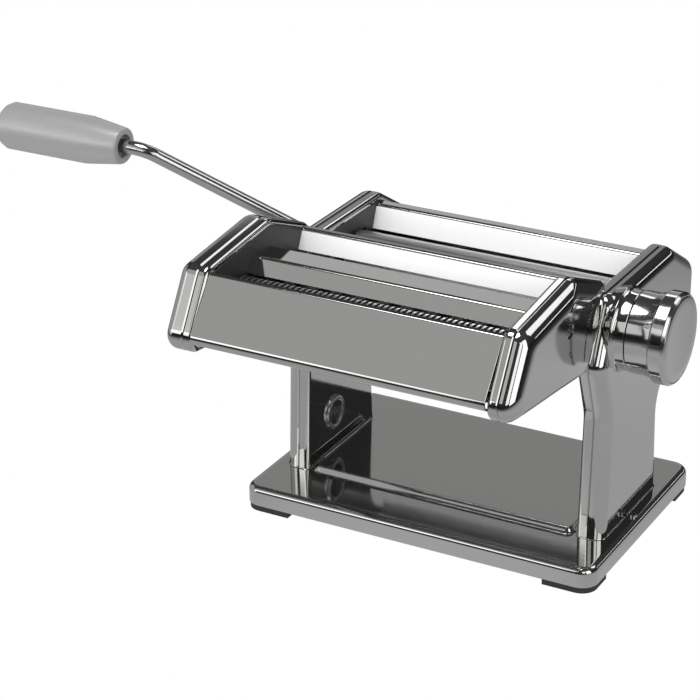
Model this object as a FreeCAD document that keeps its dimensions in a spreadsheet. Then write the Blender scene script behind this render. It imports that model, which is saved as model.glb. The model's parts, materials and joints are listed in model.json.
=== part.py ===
import FreeCAD, Part
import math
import os
import re
import Sketcher
from FreeCAD import Placement, Rotation, Vector

# Hand-cranked pasta machine: sheet rollers in a chromed head on two legs, a cutter unit in front of it,
# a crank at the left and a numbered thickness knob at the right.
# Frame: origin on the table under the middle of the base, +X to the knob, -Y to the front, +Z up.
# Lengths are millimetres, angles degrees, and y and z cells are places in that frame.

SIZES = {
    # Base tray, its raised middle and its feet
    "base_width": 198, "base_depth": 133, "base_top": 13.5, "skirt_bottom": 3, "base_sheet": 1.5,
    "base_corner": 9, "base_edge": 3.5, "plateau_half": 75, "plateau_front": -36, "plateau_back": 34,
    "plateau_top": 16.5, "plateau_edge": 1.4, "foot_length": 26, "foot_width": 20, "foot_inset": 0.6,
    "foot_setback": 12, "foot_strip": 6,
    # Planes of the two sides, measured from the middle of the machine
    "web_face": 77, "seam_face": 83, "side_face": 91, "plate_sheet": 1.5, "seam_bevel": 0.5,
    # Outline of a leg and its head
    "leg_front": -36, "leg_back": 38, "neck_front": -33, "neck_front_z": 80, "throat_y": -43.3,
    "throat_z": 109, "head_front": -28.5, "head_top": 142.5, "head_crest": 47, "head_rear": 78,
    "head_shoulder": 124, "head_belly": 93, "neck_back": 35, "neck_back_z": 66,
    "neck_round": 18, "head_round": 9, "throat_round": 7, "plate_rim": 2.5, "cover_rim": 6,
    # Outline of the cutter unit's sides
    "cutter_seam": 80.5, "lip_y": -146, "lip_z": 130.5, "brow_y": -127, "brow_z": 162, "crest_y": -69,
    "crest_z": 168, "tail_y": -26, "tail_z": 150, "heel_y": -44.3, "heel_z": 112, "keel_y": -129,
    "keel_z": 121.5, "cutter_round": 8, "crest_round": 14, "cutter_rim": 6.5,
    # Folded sheets between the sides
    "gauge": 1.2, "bend": 2, "panel_top_y": -125.9, "panel_top_z": 158.2, "panel_low_y": -145.6,
    "panel_low_z": 131.8, "panel_lip": 3.4, "panel_return": 14.5, "feed_top_y": -37.5, "feed_top_z": 151,
    "feed_low_y": -41.8, "feed_low_z": 141.4, "feed_lip": 4, "guide_front_y": -92.5, "guide_low_z": 147,
    "guide_edge_y": -87.3, "guide_edge_z": 154, "guide_back_y": -69.5, "guide_back_z": 152,
    "guide_tail_y": -66.5, "rear_low_y": 37.5, "rear_low_z": 125.2, "rear_top_y": 42, "rear_top_z": 136.8,
    "rear_fold_y": 48, "rear_slope_y": 70.5, "rear_slope_z": 123.2, "rear_back": 74, "rear_hem": 98,
    # Smooth rollers: the back one is cranked, the front one shifts to set the sheet's thickness
    "roller_radius": 17, "roller_half": 74.5, "drive_y": 50, "drive_z": 105.5, "driven_y": 15.63,
    "driven_z": 114.5, "drive_journal": 6, "driven_journal": 5, "running": 0.06, "hub_end": 92.5,
    # Sliding blocks of the front roller, and their slots
    "block_half_y": 11, "block_half_z": 12, "block_flange": 82.4, "block_face": -6.2, "slot_open": 3.8,
    "slot_close": 1.4, "slot_gap": 0.2,
    # Long-toothed roller gears and cutter gears, on the crank side
    "gear_inner": 84, "gear_outer": 88.6, "gear_root": 13.4, "gear_tip": 20.5, "gear_teeth": 12,
    "tooth_foot": 4.2, "tooth_end": 2, "pinion_root": 6.9, "pinion_tip": 11.2, "pinion_teeth": 10,
    "pinion_foot": 2.5, "pinion_end": 1.3,
    # Cutter rollers: a narrow pair at the front and a wide pair behind it
    "cutter_radius": 11, "cutter_core": 7, "cutter_journal": 4, "cutter_hub": 5.2, "narrow_front": -121,
    "narrow_back": -102.5, "narrow_z": 138.5, "wide_front": -76, "wide_back": -57.5, "wide_z": 134,
    "narrow_pitch": 3, "narrow_land": 1.3, "narrow_count": 48, "wide_pitch": 13, "wide_land": 6.3,
    "wide_count": 10, "journal_end": 82.2,
    # Thickness knob, its shaft and its cams
    "dial_y": -15, "dial_z": 122, "dial_shaft": 4, "collar_radius": 20.2, "collar_bore": 17,
    "collar_end": 97.6, "knob_back": 98.2, "barrel_radius": 20.6, "barrel_end": 105.7, "flare_end": 110.4,
    "flare_radius": 21.8, "ring_start": 110.8, "ring_radius": 23.2, "ring_bevel": 0.9, "knob_end": 118.9,
    "cap_seat": 117, "cap_face": 119.4, "cap_radius": 21.4, "cap_dish": 0.4, "knob_web": 103.4,
    "knob_web_end": 105.4, "knob_pocket": 10, "stop_face": 115, "stop_end": 116.4, "stop_radius": 7,
    "spring_radius": 6.3, "spring_wire": 1.2, "spring_start": 108.7, "pin_radius": 1.5, "pin_circle": 13,
    "pin_end": 94.5,
    "cam_small": 5, "cam_rise": 4.35, "cam_sweep": 270, "cam_rest": 210, "cam_inner": 79.2,
    "cam_outer": 82,
    # Crank
    "rod_radius": 3.75, "socket_radius": 3.82, "socket_depth": 30, "crank_angle": 46.3, "crank_reach": 91,
    "rod_start": 66, "rod_knee": 112, "rod_elbow": 185, "rod_end": 262, "rod_bend": 15, "grip_start": 198,
    "grip_end": 275, "grip_radius": 12.9, "grip_small": 9.9, "grip_taper": 22, "grip_nose": 5,
    "grip_mouth": 6.2, "grip_mouth_depth": 4,
    # Ties, screws, bushes and the clamp socket
    "tie_radius": 3.5, "stud_radius": 2, "stud_end": 83, "nut_radius": 4.05, "nut_height": 3.4,
    "tie_front_y": -8, "tie_front_z": 96, "tie_back_y": 40, "tie_back_z": 79, "cutter_tie_y": -135.8,
    "cutter_tie_z": 133.6, "middle_tie_y": -88.75, "middle_tie_z": 124.5, "guide_rod_y": -84,
    "guide_rod_z": 148, "guide_rod_end": 88.9, "screw_head": 3.7, "screw_face": 90.4, "screw_window": 4,
    "bush_wall": 2.5, "bush_end": 80.5, "foot_screw_y": 24, "foot_screw_x": 80.75, "foot_screw": 1.7,
    "foot_head": 3.2, "foot_head_depth": 2, "foot_screw_top": 17.5, "tab_screw_x": 94.4, "tab_screw_y": -2.5,
    "tab_head": 2, "tab_head_height": 1.2, "clamp_y": -7, "clamp_z": 35.5, "clamp_bore": 6.5,
    "clamp_tube": 7.6, "clamp_flange": 9.6, "clamp_lip": 1.8, "bracket_front": -70, "bracket_back": -24,
    "bracket_low": 115.5, "bracket_high": 125.5, "bracket_sheet": 1.5,
    # Scrapers under the rollers
    "scraper_gap": 0.5, "scraper_depth": 16, "scraper_thick": 3,
}

doc = FreeCAD.newDocument("pasta_machine")
sheet = doc.addObject("Spreadsheet::Sheet", "Sizes")
for row, (word, number) in enumerate(SIZES.items(), start=1):
    sheet.set(f"A{row}", word)
    sheet.set(f"B{row}", str(number))
    sheet.setAlias(f"B{row}", word)
doc.recompute()

subparts = []


def size(word):
    """Number held by a cell of the sheet."""
    return float(sheet.get(word))


def cells(text):
    """Formula text with every cell's word written as a reference to the sheet."""
    return re.sub(r"[a-z]\w*", lambda word: f"Sizes.{word[0]}" if word[0] in SIZES else word[0], text)


def drive(item, prop, text):
    item.setExpression(prop, cells(text))


def keep(item, label):
    """List an object as a sub-part that is written to its own file."""
    item.Label = label
    subparts.append(item)
    return item


# Sketches

def new_body(label, y=None, z=None):
    body = doc.addObject("PartDesign::Body", label)
    if y is not None:
        drive(body, "Placement.Base.y", y)
        drive(body, "Placement.Base.z", z)
    return keep(body, label)


def new_sketch(body, name, role, offset="0"):
    sketch = body.newObject("Sketcher::SketchObject", name)
    plane = next(item for item in body.Origin.OriginFeatures if item.Role == role)
    sketch.AttachmentSupport = [(plane, "")]
    sketch.MapMode = "FlatFace"
    drive(sketch, "AttachmentOffset.Base.z", offset)
    return sketch


def pin_point(sketch, line, end, across, up):
    """Bind a sketch point's two coordinates to formulas."""
    for kind, text in (("DistanceX", across), ("DistanceY", up)):
        number = sketch.addConstraint(Sketcher.Constraint(kind, line, end, 1.0))
        sketch.setExpression(f"Constraints[{number}]", cells(text))


def add_outline(sketch, points):
    """Closed polygon; it starts as a regular one, and its corners then go to their formulas."""
    count = len(points)
    turn = 2 * math.pi / count
    ring = [Vector(math.cos(step * turn), math.sin(step * turn), 0) for step in range(count)]
    first = sketch.GeometryCount
    for step in range(count):
        sketch.addGeometry(Part.LineSegment(ring[step], ring[(step + 1) % count]))
    for step in range(count):
        sketch.addConstraint(
            Sketcher.Constraint("Coincident", first + step, 2, first + (step + 1) % count, 1))
    for step, (across, up) in enumerate(points):
        pin_point(sketch, first + step, 1, across, up)


def add_circle(sketch, across, up, radius):
    circle = sketch.addGeometry(Part.Circle(Vector(1, 1, 0), Vector(0, 0, 1), 1))
    pin_point(sketch, circle, 3, across, up)
    number = sketch.addConstraint(Sketcher.Constraint("Radius", circle, 1.0))
    sketch.setExpression(f"Constraints[{number}]", cells(radius))


# Features

def add_pad(body, sketch, length, back=False, middle=False):
    pad = body.newObject("PartDesign::Pad", sketch.Name + "_pad")
    pad.Profile = sketch
    drive(pad, "Length", length)
    pad.Reversed = back
    pad.Midplane = middle
    doc.recompute()
    return pad


def add_pocket(body, sketch, length, back=False, middle=False):
    before = body.Shape.Volume
    pocket = body.newObject("PartDesign::Pocket", sketch.Name + "_cut")
    pocket.Profile = sketch
    drive(pocket, "Length", length)
    pocket.Reversed = back
    pocket.Midplane = middle
    doc.recompute()
    if body.Shape.Volume >= before:
        raise RuntimeError(f"{pocket.Name} cuts nothing")
    return pocket


def add_turn(body, sketch, kind="PartDesign::Revolution"):
    turned_form = body.newObject(kind, sketch.Name + "_turn")
    turned_form.Profile = sketch
    turned_form.ReferenceAxis = (sketch, ["H_Axis"])
    turned_form.Angle = 360
    doc.recompute()
    return turned_form


def add_pattern(body, kind, feature, axis, count):
    pattern = body.newObject(kind, feature.Name + "_row")
    pattern.Originals = [feature]
    if kind == "PartDesign::PolarPattern":
        pattern.Axis = axis
        pattern.Angle = 360
    else:
        pattern.Direction = axis
    drive(pattern, "Occurrences", count)
    body.Tip = pattern
    return pattern


def round_edges(body, radius, wanted, kind="PartDesign::Fillet"):
    """Fillet or chamfer the edges of the body's last feature that pass a test."""
    base = body.Tip
    names = [f"Edge{number}" for number, edge in enumerate(base.Shape.Edges, start=1) if wanted(edge)]
    rounding = body.newObject(kind, f"{body.Name}_edges")
    rounding.Base = (base, names)
    drive(rounding, "Radius" if kind.endswith("Fillet") else "Size", radius)
    doc.recompute()
    return rounding


def shell_out(body, wall, is_open):
    """Hollow the last feature inwards to a sheet, open at the faces that pass a test."""
    base = body.Tip
    faces = [f"Face{number}" for number, face in enumerate(base.Shape.Faces, start=1) if is_open(face)]
    thickness = body.newObject("PartDesign::Thickness", f"{body.Name}_shell")
    thickness.Base = (base, faces)
    thickness.Reversed = True
    drive(thickness, "Value", wall)
    doc.recompute()


# Edge and face tests

def in_plane(item, place):
    box = item.BoundBox
    return abs(box.XMin - place) < 1e-4 and abs(box.XMax - place) < 1e-4


def along_x_at(*corners):
    """Test for edges that run along X through one of the named (y, z) corners."""
    places = [(size(across), size(up)) for across, up in corners]

    def wanted(edge):
        box = edge.BoundBox
        straight = box.YLength < 1e-3 and box.ZLength < 1e-3
        return straight and any(math.hypot(box.YMin - y, box.ZMin - z) < 1e-3 for y, z in places)
    return wanted


def rim_at(place, above):
    """Test for edges in the plane x = place, other than those that stand on z = above."""
    return lambda edge: in_plane(edge, place) and edge.BoundBox.ZMax > above + 0.01


# Kinds of piece

def turned(label, outline, y, z):
    """Piece turned about a line along X, from half an outline in (x, radius)."""
    body = new_body(label, y, z)
    sketch = new_sketch(body, f"{label}_half", "XY_Plane")
    add_outline(sketch, outline)
    add_turn(body, sketch)
    return body


def folded(label, outline, *bends):
    """Sheet-metal strip between the sides, with rounded bends at the named corners."""
    body = new_body(label)
    sketch = new_sketch(body, f"{label}_section", "YZ_Plane")
    add_outline(sketch, outline)
    add_pad(body, sketch, "2 * web_face", middle=True)
    if bends:
        round_edges(body, "bend", along_x_at(*bends))
    return body


def grouped(label, pieces):
    """Several like pieces in one node."""
    for piece in pieces:
        subparts.remove(piece)
    group = doc.addObject("Part::Compound", label)
    group.Links = pieces
    return keep(group, label)


def pan(label, sign, outline, rounds, mouth, face, rim):
    """Half of a side: a shallow pressed pan whose mouth meets its partner's at the seam."""
    body = new_body(label)
    prefix = "" if sign > 0 else "-"
    sketch = new_sketch(body, f"{label}_outline", "YZ_Plane", f"{prefix}{mouth}")
    add_outline(sketch, outline)
    outward = size(face) > size(mouth)
    add_pad(body, sketch, f"abs({face} - {mouth})", back=outward == (sign < 0))
    for radius, corners in rounds:
        round_edges(body, radius, along_x_at(*corners))
    floor = size("base_top") if outline[0][1] == "base_top" else -1
    round_edges(body, rim, rim_at(sign * size(face), floor))
    shell_out(body, "plate_sheet", lambda item: in_plane(item, sign * size(mouth)))
    return body


def cut_holes(body, name, sign, places, plane="web_face", reach="4 * plate_sheet"):
    """Round holes through the wall at a plane of the side, from (y, z, radius) cells."""
    prefix = "" if sign > 0 else "-"
    sketch = new_sketch(body, f"{body.Name}_{name}", "YZ_Plane", f"{prefix}{plane}")
    for y, z, radius in places:
        add_circle(sketch, y, z, radius)
    add_pocket(body, sketch, reach, middle=True)


# Base

def make_base():
    body = new_body("base_plate")
    tray = new_sketch(body, "tray_outline", "XY_Plane", "skirt_bottom")
    add_outline(tray, [("-base_width / 2", "-base_depth / 2"), ("base_width / 2", "-base_depth / 2"),
                       ("base_width / 2", "base_depth / 2"), ("-base_width / 2", "base_depth / 2")])
    add_pad(body, tray, "base_top - skirt_bottom")
    round_edges(body, "base_corner", lambda edge: edge.BoundBox.ZLength > 1)
    round_edges(body, "base_edge", lambda edge: edge.BoundBox.ZMin > size("base_top") - 0.01)
    shell_out(body, "base_sheet", lambda face: face.BoundBox.ZMax < size("skirt_bottom") + 0.01)
    middle = new_sketch(body, "plateau_outline", "XY_Plane", "base_top")
    add_outline(middle, [("-plateau_half", "plateau_front"), ("plateau_half", "plateau_front"),
                         ("plateau_half", "plateau_back"), ("-plateau_half", "plateau_back")])
    add_pad(body, middle, "plateau_top - base_top")
    round_edges(body, "plateau_edge", lambda edge: edge.BoundBox.ZMin > size("plateau_top") - 0.01)
    under = new_sketch(body, "plateau_inside", "XY_Plane", "base_top - base_sheet")
    inset = "2 * base_sheet"
    add_outline(under, [(f"-plateau_half + {inset}", f"plateau_front + {inset}"),
                        (f"plateau_half - {inset}", f"plateau_front + {inset}"),
                        (f"plateau_half - {inset}", f"plateau_back - {inset}"),
                        (f"-plateau_half + {inset}", f"plateau_back - {inset}")])
    add_pocket(body, under, "plateau_top - base_top", back=True)
    holes = new_sketch(body, "base_holes", "XY_Plane", "base_top")
    for side in ("", "-"):
        for end in ("", "-"):
            add_circle(holes, f"{side}foot_screw_x", f"{end}foot_screw_y", "foot_screw")
        add_circle(holes, f"{side}tab_screw_x", "tab_screw_y", "foot_screw / 2")
    add_pocket(body, holes, "4 * base_sheet", middle=True)


def make_feet():
    """One rubber moulding: a pad under each corner of the skirt, a plug above it, and a set-back frame."""
    body = new_body("rubber_feet")
    ring = new_sketch(body, "foot_frame", "XY_Plane")
    for inset in ("foot_setback", "(foot_setback + foot_strip)"):
        far_x, far_y = f"(base_width / 2 - {inset})", f"(base_depth / 2 - {inset})"
        add_outline(ring, [(f"-{far_x}", f"-{far_y}"), (far_x, f"-{far_y}"), (far_x, far_y),
                           (f"-{far_x}", far_y)])
    add_pad(body, ring, "skirt_bottom")
    near_x, near_y = "base_width / 2 - foot_inset - foot_length", "base_depth / 2 - foot_inset - foot_width"
    corners = [("", ""), ("", "-"), ("-", ""), ("-", "-")]
    for name, inset, start, height in (("pads", "foot_inset", "0", "skirt_bottom"),
                                       ("plugs", "3.6 * base_sheet", "skirt_bottom",
                                        "base_top - base_sheet - skirt_bottom")):
        far_x, far_y = f"base_width / 2 - {inset}", f"base_depth / 2 - {inset}"
        sketch = new_sketch(body, f"foot_{name}", "XY_Plane", start)
        for x, y in corners:
            add_outline(sketch, [(f"{x}({near_x})", f"{y}({near_y})"), (f"{x}({far_x})", f"{y}({near_y})"),
                                 (f"{x}({far_x})", f"{y}({far_y})"), (f"{x}({near_x})", f"{y}({far_y})")])
        add_pad(body, sketch, height)
        if name == "pads":
            corner = math.hypot(size("base_width") / 2, size("base_depth") / 2) - 3
            outer = "base_corner - foot_inset"
            round_edges(body, outer,
                        lambda edge: edge.BoundBox.ZLength > 1 and edge.CenterOfMass.Length > corner)


def make_upright_screw(label, x, y, shank, head, low, mid, high, head_on_top):
    """Screw along Z: its head is above or below the level called mid."""
    body = new_body(label)
    for part, radius, start, end in (("shank", shank, low, high),
                                     ("head", head, mid if head_on_top else low,
                                      high if head_on_top else mid)):
        sketch = new_sketch(body, f"{label}_{part}", "XY_Plane", start)
        add_circle(sketch, x, y, radius)
        add_pad(body, sketch, f"({end}) - ({start})")
    return body


def make_base_fittings():
    make_feet()
    screws = []
    for side in ("", "-"):
        for end in ("", "-"):
            screws.append(make_upright_screw(
                f"foot_screw_{len(screws)}", f"{side}foot_screw_x", f"{end}foot_screw_y", "foot_screw",
                "foot_head",
                "base_top - base_sheet - foot_head_depth", "base_top - base_sheet", "foot_screw_top", False))
    grouped("leg_screws", screws)
    tabs = [make_upright_screw(f"tab_screw_{number}", f"{side}tab_screw_x", "tab_screw_y", "foot_screw / 2",
                               "tab_head", "base_top - 2 * base_sheet", "base_top",
                               "base_top + tab_head_height", True)
            for number, side in enumerate(("", "-"))]
    grouped("cover_tab_screws", tabs)


# Legs and head

LEG = [("leg_front", "base_top"), ("neck_front", "neck_front_z"), ("throat_y", "throat_z"),
       ("head_front", "head_top"), ("head_crest", "head_top"), ("head_rear", "head_shoulder"),
       ("head_rear", "head_belly"), ("neck_back", "neck_back_z"), ("leg_back", "base_top")]
LEG_ROUNDS = [("neck_round", (LEG[1], LEG[7])), ("throat_round", LEG[2:4]), ("head_round", LEG[4:7])]
TIES = [("tie_front_y", "tie_front_z"), ("tie_back_y", "tie_back_z")]


def make_frame_plate(label, sign):
    body = pan(label, sign, LEG, LEG_ROUNDS, "seam_face", "web_face", "plate_rim")
    holes = [("drive_y", "drive_z", "drive_journal + bush_wall"),
             ("dial_y", "dial_z", "dial_shaft + bush_wall")]
    holes += [(y, z, "stud_radius") for y, z in TIES]
    if sign < 0:
        holes.append(("clamp_y", "clamp_z", "clamp_tube"))
    cut_holes(body, "holes", sign, holes)
    slot = new_sketch(body, f"{label}_slot", "YZ_Plane", ("" if sign > 0 else "-") + "web_face")
    front, back = "driven_y - block_half_y - slot_open", "driven_y + block_half_y + slot_close"
    low, high = "driven_z - block_half_z - slot_gap", "driven_z + block_half_z + slot_gap"
    add_outline(slot, [(front, low), (back, low), (back, high), (front, high)])
    add_pocket(body, slot, "4 * plate_sheet", middle=True)
    feet = new_sketch(body, f"{label}_foot_holes", "XY_Plane", "base_top")
    for end in ("", "-"):
        add_circle(feet, ("" if sign > 0 else "-") + "foot_screw_x", f"{end}foot_screw_y", "foot_screw")
    add_pocket(body, feet, "4 * plate_sheet", middle=True)
    bevel_seam(body, sign * size("seam_face"), size("base_top"))


def bevel_seam(body, place, floor):
    """Break the outer edge of a pan's mouth, so that the seam shows as a fine groove."""
    loop = max((wire for face in body.Tip.Shape.Faces if in_plane(face, place) for wire in face.Wires),
               key=lambda wire: wire.BoundBox.DiagonalLength)
    outer = [edge.CenterOfMass for edge in loop.Edges if edge.BoundBox.ZMax > floor + 0.01]

    def on_mouth(edge):
        return in_plane(edge, place) and any((edge.CenterOfMass - spot).Length < 1e-4 for spot in outer)
    round_edges(body, "seam_bevel", on_mouth, "PartDesign::Chamfer")


def make_side_cover(label, sign):
    body = pan(label, sign, LEG, LEG_ROUNDS, "seam_face", "side_face", "cover_rim")
    if sign > 0:
        collar = new_sketch(body, "collar_ring", "YZ_Plane", "seam_face + plate_sheet")
        add_circle(collar, "dial_y", "dial_z", "collar_radius")
        add_circle(collar, "dial_y", "dial_z", "collar_bore")
        add_pad(body, collar, "collar_end - seam_face - plate_sheet")
        cut_holes(body, "dial_hole", sign, [("dial_y", "dial_z", "dial_shaft + 0.5")], "side_face")
        root = math.pi * 2 * size("collar_radius") * 0.3
        round_edges(body, "1.2", lambda edge: in_plane(edge, size("side_face")) and edge.Length > root
                    and abs(edge.BoundBox.YMin - size("dial_y")) < size("collar_radius") + 0.01)
        round_edges(body, "0.6", lambda edge: in_plane(edge, size("collar_end")))
    else:
        cut_holes(body, "holes", sign, [("drive_y", "drive_z", "drive_journal + 1"),
                                        ("clamp_y", "clamp_z", "clamp_tube")], "side_face")
    bevel_seam(body, sign * size("seam_face"), size("base_top"))


def make_ties():
    outline = [("-stud_end", "0"), ("-stud_end", "stud_radius"), ("-web_face", "stud_radius"),
               ("-web_face", "tie_radius"), ("web_face", "tie_radius"), ("web_face", "stud_radius"),
               ("stud_end", "stud_radius"), ("stud_end", "0")]
    cutter_ties = [("cutter_tie_y", "cutter_tie_z"), ("middle_tie_y", "middle_tie_z")]
    for label, places, wall in (("frame_tie", TIES, "web_face"), ("cutter_tie", cutter_ties, "web_face")):
        grouped(f"{label}_rods", [turned(f"{label}_{number}", outline, y, z)
                                  for number, (y, z) in enumerate(places)])
        grouped(f"{label}_nuts", [make_nut(f"{label}_nut_{number}_{side}", sign, y, z)
                                  for number, (y, z) in enumerate(places)
                                  for side, sign in (("left", -1), ("right", 1))])


def make_nut(label, sign, y, z):
    """Hexagon nut on the end of a tie rod, against the outside of a web."""
    body = new_body(label, y, z)
    face = "web_face + plate_sheet"
    sketch = new_sketch(body, f"{label}_hexagon", "YZ_Plane", face if sign > 0 else f"-({face})")
    add_outline(sketch, [(f"nut_radius * {math.cos(step * math.pi / 3):.6f}",
                          f"nut_radius * {math.sin(step * math.pi / 3):.6f}") for step in range(6)])
    add_circle(sketch, "0", "0", "stud_radius")
    add_pad(body, sketch, "nut_height", back=sign < 0)
    return body


def make_bush(label, sign, y, z, journal, end="bush_end"):
    """Flanged bush pressed into a web."""
    prefix = "" if sign > 0 else "-"
    inner, outer = "web_face", "web_face + plate_sheet"
    bore, wall, flange = f"{journal} + running", f"{journal} + bush_wall", f"{journal} + 1.7 * bush_wall"
    outline = [(inner, bore), (inner, wall), (outer, wall), (outer, flange), (end, flange), (end, bore)]
    return turned(label, [(f"{prefix}({x})", radius) for x, radius in outline], y, z)


def make_clamp_socket():
    lip = "clamp_lip"
    turned("clamp_socket",
           [(f"-web_face + {lip}", "clamp_bore"), (f"-web_face + {lip}", "clamp_flange - 0.8"),
            (f"-web_face + {lip} - 0.8", "clamp_flange"), ("-web_face", "clamp_flange"),
            ("-web_face", "clamp_tube"), ("-side_face", "clamp_tube"), ("-side_face", "clamp_flange"),
            ("-side_face - 1", "clamp_flange"), ("-side_face - 1", "clamp_bore")],
           "clamp_y", "clamp_z")


def make_rear_panel():
    folded("rear_feed_panel",
           [("rear_low_y", "rear_low_z"), ("rear_top_y", "rear_top_z"), ("rear_fold_y", "rear_top_z - 0.4"),
            ("rear_slope_y", "rear_slope_z"), ("rear_back", "rear_slope_z - 6"), ("rear_back", "rear_hem"),
            ("rear_back - gauge", "rear_hem"), ("rear_back - gauge", "rear_slope_z - 6.4"),
            ("rear_slope_y - 0.8 * gauge", "rear_slope_z - 0.8 * gauge"),
            ("rear_fold_y - 0.3", "rear_top_z - 0.4 - gauge"), ("rear_top_y + 0.7", "rear_top_z - gauge"),
            ("rear_low_y + gauge", "rear_low_z - 0.5")])


def make_scraper(label, y, z):
    """Upright strip whose bevelled edge stands just under a smooth roller."""
    top = f"{z} - roller_radius - scraper_gap"
    folded(label, [(f"{y} - scraper_thick / 2", f"{top} - scraper_depth"),
                   (f"{y} + scraper_thick / 2", f"{top} - scraper_depth"),
                   (f"{y} + scraper_thick / 2", f"{top} - scraper_thick"), (f"{y} + 0.5", top),
                   (f"{y} - 0.5", top),
                   (f"{y} - scraper_thick / 2", f"{top} - scraper_thick")])


# Cutter unit

CUTTER = [("lip_y", "lip_z"), ("brow_y", "brow_z"), ("crest_y", "crest_z"), ("tail_y", "tail_z"),
          ("heel_y", "heel_z"), ("keel_y", "keel_z")]
CUTTER_ROUNDS = [("cutter_round", [CUTTER[0], CUTTER[1], CUTTER[3], CUTTER[4], CUTTER[5]]),
                 ("crest_round", [CUTTER[2]])]
DRIVE_CUTTERS = [("narrow_front", "narrow_z"), ("wide_back", "wide_z")]
DRIVEN_CUTTERS = [("narrow_back", "narrow_z"), ("wide_front", "wide_z")]


def make_cutter_frame(label, sign):
    body = pan(label, sign, CUTTER, CUTTER_ROUNDS, "cutter_seam", "web_face", "plate_rim")
    hub = "cutter_hub" if sign < 0 else "cutter_journal"
    holes = [(y, z, f"{hub} + bush_wall") for y, z in DRIVE_CUTTERS]
    holes += [(y, z, "cutter_journal + bush_wall") for y, z in DRIVEN_CUTTERS]
    holes += [("cutter_tie_y", "cutter_tie_z", "stud_radius"),
              ("middle_tie_y", "middle_tie_z", "stud_radius"),
              ("guide_rod_y", "guide_rod_z", "stud_radius")]
    cut_holes(body, "holes", sign, holes)
    bevel_seam(body, sign * size("cutter_seam"), -1)


def make_cutter_cover(label, sign):
    body = pan(label, sign, CUTTER, CUTTER_ROUNDS, "cutter_seam", "side_face", "cutter_rim")
    holes = [("guide_rod_y", "guide_rod_z", "screw_window")]
    if sign < 0:
        holes += [(y, z, "cutter_hub + 1") for y, z in DRIVE_CUTTERS]
    cut_holes(body, "holes", sign, holes, "side_face")
    bevel_seam(body, sign * size("cutter_seam"), -1)


def make_cutter_sheets():
    folded("cutter_front_panel",
           [("panel_top_y + panel_lip", "panel_top_z + 0.4"), ("panel_top_y", "panel_top_z"),
            ("panel_low_y", "panel_low_z"),
            ("panel_low_y + panel_return", "panel_low_z - 0.53 * panel_return"),
            ("panel_low_y + panel_return + 0.5", "panel_low_z - 0.53 * panel_return + gauge"),
            ("panel_low_y + 1.7 * gauge", "panel_low_z + 0.25"),
            ("panel_top_y + 0.6", "panel_top_z - 1.1 * gauge"),
            ("panel_top_y + panel_lip", "panel_top_z + 0.4 - gauge")],
           ("panel_top_y", "panel_top_z"), ("panel_low_y", "panel_low_z"))
    folded("cutter_feed_panel",
           [("feed_low_y", "feed_low_z"), ("feed_top_y", "feed_top_z"),
            ("feed_top_y + feed_lip", "feed_top_z - 0.7"),
            ("feed_top_y + feed_lip", "feed_top_z - 0.7 - gauge"),
            ("feed_top_y + 0.5", "feed_top_z - 1.2 * gauge"),
            ("feed_low_y + 0.8 * gauge", "feed_low_z - 0.6 * gauge")])
    folded("middle_guide",
           [("guide_front_y", "guide_low_z"), ("guide_edge_y", "guide_edge_z"),
            ("guide_back_y", "guide_back_z"),
            ("guide_tail_y", "guide_low_z"), ("guide_tail_y - gauge", "guide_low_z"),
            ("guide_back_y - 0.9 * gauge", "guide_back_z - gauge"),
            ("guide_edge_y + 0.8 * gauge", "guide_edge_z - 1.1 * gauge"),
            ("guide_front_y + gauge", "guide_low_z")])


def make_cutter_fittings():
    turned("guide_rod", [("-guide_rod_end", "0"), ("-guide_rod_end", "stud_radius"),
                         ("-web_face", "stud_radius"),
                         ("-web_face", "tie_radius - 0.4"), ("web_face", "tie_radius - 0.4"),
                         ("web_face", "stud_radius"), ("guide_rod_end", "stud_radius"),
                         ("guide_rod_end", "0")],
           "guide_rod_y", "guide_rod_z")
    screws = []
    for side, sign in (("left", "-"), ("right", "")):
        outline = [("guide_rod_end", "0"), ("guide_rod_end", "screw_head"),
                   ("screw_face - 0.5", "screw_head"),
                   ("screw_face", "screw_head - 0.8"), ("screw_face", "1.2"), ("screw_face - 0.8", "1.2"),
                   ("screw_face - 0.8", "0")]
        screws.append(turned(f"{side}_guide_screw", [(f"{sign}({x})", radius) for x, radius in outline],
                             "guide_rod_y", "guide_rod_z"))
    grouped("cover_screws", screws)
    for side, sign in (("left", "-"), ("right", "")):
        body = new_body(f"{side}_cutter_bracket")
        sketch = new_sketch(body, f"{side}_bracket_outline", "YZ_Plane", f"{sign}web_face")
        add_outline(sketch, [("bracket_front", "bracket_low"), ("bracket_back", "bracket_low"),
                             ("bracket_back", "bracket_high"), ("bracket_front", "bracket_high")])
        add_pad(body, sketch, "bracket_sheet", back=sign == "")
        round_edges(body, "2 * bracket_sheet", lambda edge: edge.BoundBox.XLength > 1)


# Rollers, cutters and gears

def make_rollers():
    turned("drive_roller",
           [("-hub_end", "socket_radius"), ("-hub_end", "drive_journal"), ("-roller_half", "drive_journal"),
            ("-roller_half", "roller_radius"), ("roller_half", "roller_radius"),
            ("roller_half", "drive_journal"),
            ("journal_end", "drive_journal"), ("journal_end", "0"), ("-hub_end + socket_depth", "0"),
            ("-hub_end + socket_depth", "socket_radius")], "drive_y", "drive_z")
    turned("driven_roller",
           [("-gear_outer - 0.4", "0"), ("-gear_outer - 0.4", "driven_journal"),
            ("-roller_half", "driven_journal"),
            ("-roller_half", "roller_radius"), ("roller_half", "roller_radius"),
            ("roller_half", "driven_journal"),
            ("journal_end", "driven_journal"), ("journal_end", "0")], "driven_y", "driven_z")


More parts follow.
